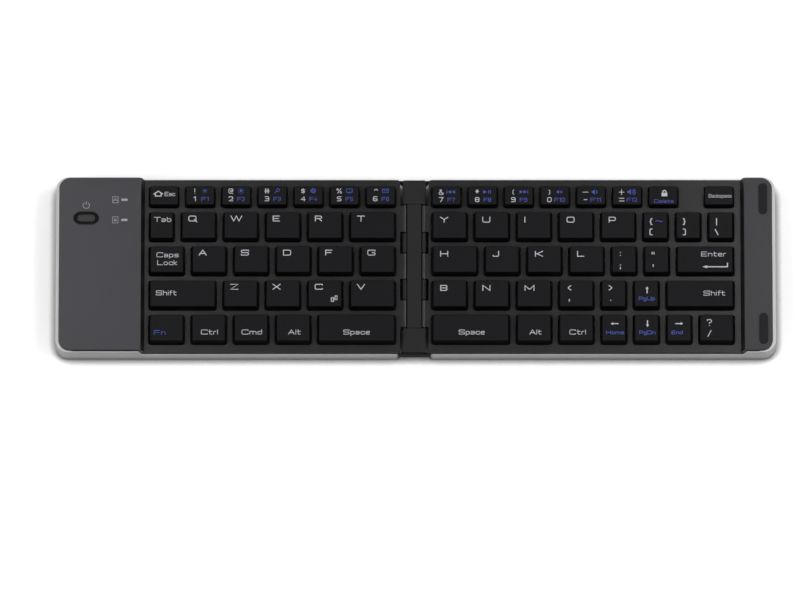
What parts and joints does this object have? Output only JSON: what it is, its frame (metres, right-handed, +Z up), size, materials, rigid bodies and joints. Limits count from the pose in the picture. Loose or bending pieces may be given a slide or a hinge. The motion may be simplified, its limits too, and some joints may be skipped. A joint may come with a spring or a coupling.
{
  "type": "folding keyboard",
  "caption": "Slim folding keyboard: two silver-backed halves of low keys joined by a narrow spine with two hinge lines, with a raised control panel and end rim.",
  "frame": {"origin": "centre of the open keyboard's footprint, on the surface that its feet stand on", "axes": "+X from the left half to the right half along the length, +Y towards the number row, +Z up; drawn open"},
  "size_m": [0.29, 0.076, 0.011],
  "materials": {
    "silver_shell": "fine blasted, satin",
    "gunmetal_deck": "dark gunmetal lacquer, satin",
    "gunmetal_cover": "dark gunmetal lacquer, smooth satin",
    "key_plastic": "fine textured black",
    "spine_plastic": "satin dark grey",
    "button_plastic": "satin dark grey",
    "pad_rubber": "soft matte",
    "foot_rubber": "soft matte",
    "dome_rubber": "silicone, matte",
    "scissor_plastic": "moulded natural white",
    "membrane_film": "printed film",
    "flex_film": "amber film",
    "battery_wrap": "foil pouch",
    "board_green": "solder resist",
    "plated_steel": "bright plated",
    "plate_steel": "rolled sheet",
    "screw_steel": "blackened",
    "pin_steel": "blackened, ground",
    "light_pipe": "milky clear"
  },
  "bodies": {
    "left_half": {"left_bottom_shell": "silver_shell", "left_key_deck": "gunmetal_deck", "control_panel_cover": "gunmetal_cover", "indicator_light_pipes": "light_pipe", "battery": "battery_wrap", "circuit_board": "board_green", "charging_socket": "plated_steel", "left_base_plate": "plate_steel", "left_membrane": "membrane_film", "left_rubber_domes": "dome_rubber", "left_scissor_links": "scissor_plastic", "left_feet": "foot_rubber", "left_screws": "screw_steel"},
    "spine": {"spine_body": "spine_plastic", "spine_end_caps": "spine_plastic", "hinge_pins": "pin_steel", "flex_cable": "flex_film"},
    "right_half": {"right_bottom_shell": "silver_shell", "right_key_deck": "gunmetal_deck", "end_rim": "gunmetal_cover", "bumper_pads": "pad_rubber", "right_base_plate": "plate_steel", "right_membrane": "membrane_film", "right_rubber_domes": "dome_rubber", "right_scissor_links": "scissor_plastic", "right_feet": "foot_rubber", "right_screws": "screw_steel"},
    "power_button": {"power_button": "button_plastic"},
    "key_q": {"key_q": "key_plastic"},
    "key_w": {"key_w": "key_plastic"},
    "key_e": {"key_e": "key_plastic"},
    "key_r": {"key_r": "key_plastic"},
    "key_t": {"key_t": "key_plastic"},
    "key_a": {"key_a": "key_plastic"},
    "key_s": {"key_s": "key_plastic"},
    "key_d": {"key_d": "key_plastic"},
    "key_f": {"key_f": "key_plastic"},
    "key_g": {"key_g": "key_plastic"},
    "key_z": {"key_z": "key_plastic"},
    "key_x": {"key_x": "key_plastic"},
    "key_c": {"key_c": "key_plastic"},
    "key_v": {"key_v": "key_plastic"},
    "key_y": {"key_y": "key_plastic"},
    "key_u": {"key_u": "key_plastic"},
    "key_i": {"key_i": "key_plastic"},
    "key_o": {"key_o": "key_plastic"},
    "key_p": {"key_p": "key_plastic"},
    "key_h": {"key_h": "key_plastic"},
    "key_j": {"key_j": "key_plastic"},
    "key_k": {"key_k": "key_plastic"},
    "key_l": {"key_l": "key_plastic"},
    "key_b": {"key_b": "key_plastic"},
    "key_n": {"key_n": "key_plastic"},
    "key_m": {"key_m": "key_plastic"},
    "left_space_key": {"left_space_key": "key_plastic"},
    "right_space_key": {"right_space_key": "key_plastic"},
    "left_number_keys": {"left_number_keys": "key_plastic"},
    "left_side_keys": {"left_side_keys": "key_plastic"},
    "right_number_keys": {"right_number_keys": "key_plastic"},
    "right_side_keys": {"right_side_keys": "key_plastic"}
  },
  "joints": [
    {"name": "left_hinge", "type": "hinge", "parent": "left_half", "child": "spine", "pos_m": [-0.00437, 0, 0.00715], "axis": [0, -1, 0], "range_deg": [0, 90], "deforming": ["flex_cable"]},
    {"name": "right_hinge", "type": "hinge", "parent": "spine", "child": "right_half", "pos_m": [0.00333, 0, 0.00715], "axis": [0, -1, 0], "range_deg": [0, 90], "deforming": ["flex_cable"]},
    {"name": "power_button_press", "type": "slide", "parent": "left_half", "child": "power_button", "axis": [0, 0, -1], "range_m": [0, 0.0005], "stiffness_N_per_m": 900, "springref_m": -0.0004},
    {"name": "key_q_press", "type": "slide", "parent": "left_half", "child": "key_q", "axis": [0, 0, -1], "range_m": [0, 0.0015], "stiffness_N_per_m": 250, "springref_m": -0.0005, "deforming": ["left_rubber_domes", "left_scissor_links"]},
    {"name": "key_w_press", "type": "slide", "parent": "left_half", "child": "key_w", "axis": [0, 0, -1], "range_m": [0, 0.0015], "stiffness_N_per_m": 250, "springref_m": -0.0005, "deforming": ["left_rubber_domes", "left_scissor_links"]},
    {"name": "key_e_press", "type": "slide", "parent": "left_half", "child": "key_e", "axis": [0, 0, -1], "range_m": [0, 0.0015], "stiffness_N_per_m": 250, "springref_m": -0.0005, "deforming": ["left_rubber_domes", "left_scissor_links"]},
    {"name": "key_r_press", "type": "slide", "parent": "left_half", "child": "key_r", "axis": [0, 0, -1], "range_m": [0, 0.0015], "stiffness_N_per_m": 250, "springref_m": -0.0005, "deforming": ["left_rubber_domes", "left_scissor_links"]},
    {"name": "key_t_press", "type": "slide", "parent": "left_half", "child": "key_t", "axis": [0, 0, -1], "range_m": [0, 0.0015], "stiffness_N_per_m": 250, "springref_m": -0.0005, "deforming": ["left_rubber_domes", "left_scissor_links"]},
    {"name": "key_a_press", "type": "slide", "parent": "left_half", "child": "key_a", "axis": [0, 0, -1], "range_m": [0, 0.0015], "stiffness_N_per_m": 250, "springref_m": -0.0005, "deforming": ["left_rubber_domes", "left_scissor_links"]},
    {"name": "key_s_press", "type": "slide", "parent": "left_half", "child": "key_s", "axis": [0, 0, -1], "range_m": [0, 0.0015], "stiffness_N_per_m": 250, "springref_m": -0.0005, "deforming": ["left_rubber_domes", "left_scissor_links"]},
    {"name": "key_d_press", "type": "slide", "parent": "left_half", "child": "key_d", "axis": [0, 0, -1], "range_m": [0, 0.0015], "stiffness_N_per_m": 250, "springref_m": -0.0005, "deforming": ["left_rubber_domes", "left_scissor_links"]},
    {"name": "key_f_press", "type": "slide", "parent": "left_half", "child": "key_f", "axis": [0, 0, -1], "range_m": [0, 0.0015], "stiffness_N_per_m": 250, "springref_m": -0.0005, "deforming": ["left_rubber_domes", "left_scissor_links"]},
    {"name": "key_g_press", "type": "slide", "parent": "left_half", "child": "key_g", "axis": [0, 0, -1], "range_m": [0, 0.0015], "stiffness_N_per_m": 250, "springref_m": -0.0005, "deforming": ["left_rubber_domes", "left_scissor_links"]},
    {"name": "key_z_press", "type": "slide", "parent": "left_half", "child": "key_z", "axis": [0, 0, -1], "range_m": [0, 0.0015], "stiffness_N_per_m": 250, "springref_m": -0.0005, "deforming": ["left_rubber_domes", "left_scissor_links"]},
    {"name": "key_x_press", "type": "slide", "parent": "left_half", "child": "key_x", "axis": [0, 0, -1], "range_m": [0, 0.0015], "stiffness_N_per_m": 250, "springref_m": -0.0005, "deforming": ["left_rubber_domes", "left_scissor_links"]},
    {"name": "key_c_press", "type": "slide", "parent": "left_half", "child": "key_c", "axis": [0, 0, -1], "range_m": [0, 0.0015], "stiffness_N_per_m": 250, "springref_m": -0.0005, "deforming": ["left_rubber_domes", "left_scissor_links"]},
    {"name": "key_v_press", "type": "slide", "parent": "left_half", "child": "key_v", "axis": [0, 0, -1], "range_m": [0, 0.0015], "stiffness_N_per_m": 250, "springref_m": -0.0005, "deforming": ["left_rubber_domes", "left_scissor_links"]},
    {"name": "key_y_press", "type": "slide", "parent": "right_half", "child": "key_y", "axis": [0, 0, -1], "range_m": [0, 0.0015], "stiffness_N_per_m": 250, "springref_m": -0.0005, "deforming": ["right_rubber_domes", "right_scissor_links"]},
    {"name": "key_u_press", "type": "slide", "parent": "right_half", "child": "key_u", "axis": [0, 0, -1], "range_m": [0, 0.0015], "stiffness_N_per_m": 250, "springref_m": -0.0005, "deforming": ["right_rubber_domes", "right_scissor_links"]},
    {"name": "key_i_press", "type": "slide", "parent": "right_half", "child": "key_i", "axis": [0, 0, -1], "range_m": [0, 0.0015], "stiffness_N_per_m": 250, "springref_m": -0.0005, "deforming": ["right_rubber_domes", "right_scissor_links"]},
    {"name": "key_o_press", "type": "slide", "parent": "right_half", "child": "key_o", "axis": [0, 0, -1], "range_m": [0, 0.0015], "stiffness_N_per_m": 250, "springref_m": -0.0005, "deforming": ["right_rubber_domes", "right_scissor_links"]},
    {"name": "key_p_press", "type": "slide", "parent": "right_half", "child": "key_p", "axis": [0, 0, -1], "range_m": [0, 0.0015], "stiffness_N_per_m": 250, "springref_m": -0.0005, "deforming": ["right_rubber_domes", "right_scissor_links"]},
    {"name": "key_h_press", "type": "slide", "parent": "right_half", "child": "key_h", "axis": [0, 0, -1], "range_m": [0, 0.0015], "stiffness_N_per_m": 250, "springref_m": -0.0005, "deforming": ["right_rubber_domes", "right_scissor_links"]},
    {"name": "key_j_press", "type": "slide", "parent": "right_half", "child": "key_j", "axis": [0, 0, -1], "range_m": [0, 0.0015], "stiffness_N_per_m": 250, "springref_m": -0.0005, "deforming": ["right_rubber_domes", "right_scissor_links"]},
    {"name": "key_k_press", "type": "slide", "parent": "right_half", "child": "key_k", "axis": [0, 0, -1], "range_m": [0, 0.0015], "stiffness_N_per_m": 250, "springref_m": -0.0005, "deforming": ["right_rubber_domes", "right_scissor_links"]},
    {"name": "key_l_press", "type": "slide", "parent": "right_half", "child": "key_l", "axis": [0, 0, -1], "range_m": [0, 0.0015], "stiffness_N_per_m": 250, "springref_m": -0.0005, "deforming": ["right_rubber_domes", "right_scissor_links"]},
    {"name": "key_b_press", "type": "slide", "parent": "right_half", "child": "key_b", "axis": [0, 0, -1], "range_m": [0, 0.0015], "stiffness_N_per_m": 250, "springref_m": -0.0005, "deforming": ["right_rubber_domes", "right_scissor_links"]},
    {"name": "key_n_press", "type": "slide", "parent": "right_half", "child": "key_n", "axis": [0, 0, -1], "range_m": [0, 0.0015], "stiffness_N_per_m": 250, "springref_m": -0.0005, "deforming": ["right_rubber_domes", "right_scissor_links"]},
    {"name": "key_m_press", "type": "slide", "parent": "right_half", "child": "key_m", "axis": [0, 0, -1], "range_m": [0, 0.0015], "stiffness_N_per_m": 250, "springref_m": -0.0005, "deforming": ["right_rubber_domes", "right_scissor_links"]},
    {"name": "left_space_key_press", "type": "slide", "parent": "left_half", "child": "left_space_key", "axis": [0, 0, -1], "range_m": [0, 0.0015], "stiffness_N_per_m": 250, "springref_m": -0.0005, "deforming": ["left_rubber_domes", "left_scissor_links"]},
    {"name": "right_space_key_press", "type": "slide", "parent": "right_half", "child": "right_space_key", "axis": [0, 0, -1], "range_m": [0, 0.0015], "stiffness_N_per_m": 250, "springref_m": -0.0005, "deforming": ["right_rubber_domes", "right_scissor_links"]},
    {"name": "left_number_keys_press", "type": "slide", "parent": "left_half", "child": "left_number_keys", "axis": [0, 0, -1], "range_m": [0, 0.0015], "stiffness_N_per_m": 1750, "springref_m": -0.0005, "deforming": ["left_rubber_domes", "left_scissor_links"]},
    {"name": "left_side_keys_press", "type": "slide", "parent": "left_half", "child": "left_side_keys", "axis": [0, 0, -1], "range_m": [0, 0.0015], "stiffness_N_per_m": 1750, "springref_m": -0.0005, "deforming": ["left_rubber_domes", "left_scissor_links"]},
    {"name": "right_number_keys_press", "type": "slide", "parent": "right_half", "child": "right_number_keys", "axis": [0, 0, -1], "range_m": [0, 0.0015], "stiffness_N_per_m": 2000, "springref_m": -0.0005, "deforming": ["right_rubber_domes", "right_scissor_links"]},
    {"name": "right_side_keys_press", "type": "slide", "parent": "right_half", "child": "right_side_keys", "axis": [0, 0, -1], "range_m": [0, 0.0015], "stiffness_N_per_m": 4000, "springref_m": -0.0005, "deforming": ["right_rubber_domes", "right_scissor_links"]}
  ]
}
